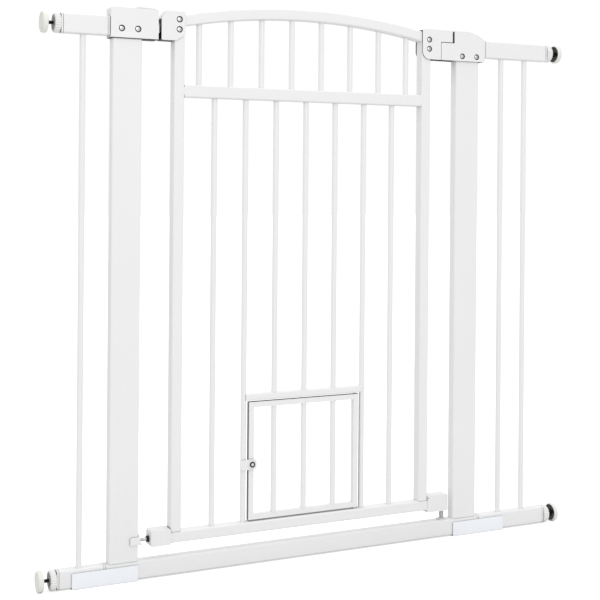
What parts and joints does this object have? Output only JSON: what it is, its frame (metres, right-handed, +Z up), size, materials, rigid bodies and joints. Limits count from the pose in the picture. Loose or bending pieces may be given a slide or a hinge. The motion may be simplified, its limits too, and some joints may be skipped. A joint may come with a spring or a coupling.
{
  "type": "pet gate",
  "caption": "Pressure-fit pet gate with side panels, an arched lift-and-swing door, a cat flap with a turn latch, and screw spindles with wall cups.",
  "frame": {"origin": "on the floor, at the middle of the gate's whole width and depth", "axes": "+X along the gate from its latch side to its hinge side, +Y away from its front, +Z up"},
  "size_m": [0.974, 0.033, 0.919],
  "materials": {
    "painted_steel": "satin white powder coat",
    "moulded_plastic": "satin",
    "sleeve_plastic": "semi-gloss",
    "cup_rubber": "matt",
    "nut_plastic": "satin",
    "zinc_steel": "zinc plated",
    "black_steel": "black oxide thread"
  },
  "bodies": {
    "frame": {"threshold_rail": "painted_steel", "left_post": "painted_steel", "right_post": "painted_steel", "latch_housing_front": "moulded_plastic", "latch_housing_back": "moulded_plastic", "hinge_housing_front": "moulded_plastic", "hinge_housing_back": "moulded_plastic", "housing_screws": "zinc_steel", "door_catch": "moulded_plastic", "threshold_bush": "moulded_plastic", "left_top_rail": "painted_steel", "left_bottom_rail": "painted_steel", "left_panel_bar": "painted_steel", "right_top_rail": "painted_steel", "right_bottom_rail": "painted_steel", "right_panel_bars": "painted_steel", "panel_plugs": "moulded_plastic", "left_sleeve": "sleeve_plastic", "right_sleeve": "sleeve_plastic", "spindle_bushes": "moulded_plastic"},
    "hinge_pins": {"upper_hinge_pin": "zinc_steel", "lower_hinge_pin": "zinc_steel", "closer_spring": "zinc_steel"},
    "door": {"latch_stile": "painted_steel", "hinge_stile": "painted_steel", "arch_rail": "painted_steel", "mid_rail": "painted_steel", "bottom_rail": "painted_steel", "flap_header": "painted_steel", "upper_bars": "painted_steel", "long_bars": "painted_steel", "short_bars": "painted_steel", "latch_cap_front": "moulded_plastic", "latch_cap_back": "moulded_plastic", "hinge_cap_front": "moulded_plastic", "hinge_cap_back": "moulded_plastic", "lower_hinge_cap": "moulded_plastic", "foot_cap": "moulded_plastic", "foot_pin": "zinc_steel", "cap_screws": "zinc_steel"},
    "cat_flap": {"flap_frame": "painted_steel", "flap_bars": "painted_steel", "flap_pins": "zinc_steel", "flap_latch_screw": "zinc_steel"},
    "flap_latch": {"turn_latch": "moulded_plastic"},
    "latch_button": {"slide_button": "moulded_plastic", "latch_bolt": "zinc_steel", "latch_spring": "zinc_steel"},
    "spindle_top_left_set": {"spindle_top_left": "black_steel", "cup_top_left": "cup_rubber"},
    "spindle_bottom_left_set": {"spindle_bottom_left": "black_steel", "cup_bottom_left": "cup_rubber"},
    "spindle_top_right_set": {"spindle_top_right": "black_steel", "cup_top_right": "cup_rubber"},
    "spindle_bottom_right_set": {"spindle_bottom_right": "black_steel", "cup_bottom_right": "cup_rubber"},
    "hand_nut_top_left": {"nut_top_left": "nut_plastic"},
    "hand_nut_bottom_left": {"nut_bottom_left": "nut_plastic"},
    "hand_nut_top_right": {"nut_top_right": "nut_plastic"},
    "hand_nut_bottom_right": {"nut_bottom_right": "nut_plastic"}
  },
  "joints": [
    {"name": "door_lift", "type": "slide", "parent": "frame", "child": "hinge_pins", "axis": [0, 0, 1], "range_m": [0, 0.01]},
    {"name": "door_swing", "type": "hinge", "parent": "hinge_pins", "child": "door", "pos_m": [0.2398, 0, 0.4], "axis": [0, 0, 1], "range_deg": [0, 90], "stiffness_Nm_per_rad": 1.2, "springref_deg": -11.46},
    {"name": "flap_swing", "type": "hinge", "parent": "door", "child": "cat_flap", "pos_m": [0.0625, 0, 0.17], "axis": [0, 0, 1], "range_deg": [0, 90]},
    {"name": "flap_latch_turn", "type": "hinge", "parent": "cat_flap", "child": "flap_latch", "pos_m": [-0.1325, -0.006, 0.1644], "axis": [0, 1, 0], "range_deg": [0, 90]},
    {"name": "latch_slide", "type": "slide", "parent": "frame", "child": "latch_button", "axis": [-1, 0, 0], "range_m": [0, 0.009], "stiffness_N_per_m": 200, "springref_m": -0.004, "deforming": ["latch_spring"]},
    {"name": "nut_turn_top_left", "type": "hinge", "parent": "frame", "child": "hand_nut_top_left", "pos_m": [-0.465, 0, 0.87225], "axis": [1, 0, 0], "range_deg": [-3245, 7205]},
    {"name": "spindle_slide_top_left", "type": "slide", "parent": "frame", "child": "spindle_top_left_set", "axis": [-1, 0, 0], "range_m": [-0.009, 0.02]},
    {"name": "nut_turn_bottom_left", "type": "hinge", "parent": "frame", "child": "hand_nut_bottom_left", "pos_m": [-0.465, 0, 0.0165], "axis": [1, 0, 0], "range_deg": [-3245, 7205]},
    {"name": "spindle_slide_bottom_left", "type": "slide", "parent": "frame", "child": "spindle_bottom_left_set", "axis": [-1, 0, 0], "range_m": [-0.009, 0.02]},
    {"name": "nut_turn_top_right", "type": "hinge", "parent": "frame", "child": "hand_nut_top_right", "pos_m": [0.465, 0, 0.87225], "axis": [-1, 0, 0], "range_deg": [-3245, 7205]},
    {"name": "spindle_slide_top_right", "type": "slide", "parent": "frame", "child": "spindle_top_right_set", "axis": [1, 0, 0], "range_m": [-0.009, 0.02]},
    {"name": "nut_turn_bottom_right", "type": "hinge", "parent": "frame", "child": "hand_nut_bottom_right", "pos_m": [0.465, 0, 0.0165], "axis": [-1, 0, 0], "range_deg": [-3245, 7205]},
    {"name": "spindle_slide_bottom_right", "type": "slide", "parent": "frame", "child": "spindle_bottom_right_set", "axis": [1, 0, 0], "range_m": [-0.009, 0.02]}
  ],
  "couplings": [
    {"joint": "nut_turn_top_left", "follows": "spindle_slide_top_left", "rad_per_m": 6283.2},
    {"joint": "nut_turn_bottom_left", "follows": "spindle_slide_bottom_left", "rad_per_m": 6283.2},
    {"joint": "nut_turn_top_right", "follows": "spindle_slide_top_right", "rad_per_m": 6283.2},
    {"joint": "nut_turn_bottom_right", "follows": "spindle_slide_bottom_right", "rad_per_m": 6283.2}
  ]
}
